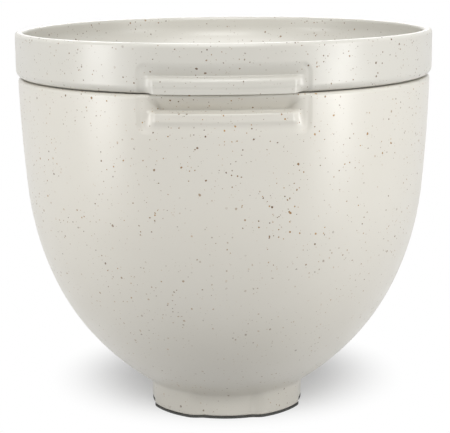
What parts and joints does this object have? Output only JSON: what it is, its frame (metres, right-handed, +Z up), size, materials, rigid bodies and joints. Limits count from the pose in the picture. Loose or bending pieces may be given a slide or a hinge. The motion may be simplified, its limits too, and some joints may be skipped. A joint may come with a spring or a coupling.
{
  "type": "stand mixer bowl",
  "caption": "Speckled stoneware mixing bowl with a bayonet foot, rubber foot ring, finger grips and a matching lid resting open side up on its rim",
  "frame": {"origin": "on the bowl's axis, at the underside of the foot pad", "axes": "+Z up along the bowl's axis; the finger grips face -Y and +Y"},
  "size_m": [0.233, 0.2338, 0.2157],
  "materials": {
    "bowl_glaze": "satin",
    "lid_glaze": "satin",
    "foot_rubber": "matte"
  },
  "bodies": {
    "root": {"bowl": "bowl_glaze", "lid": "lid_glaze", "foot_pad": "foot_rubber"}
  },
  "joints": []
}
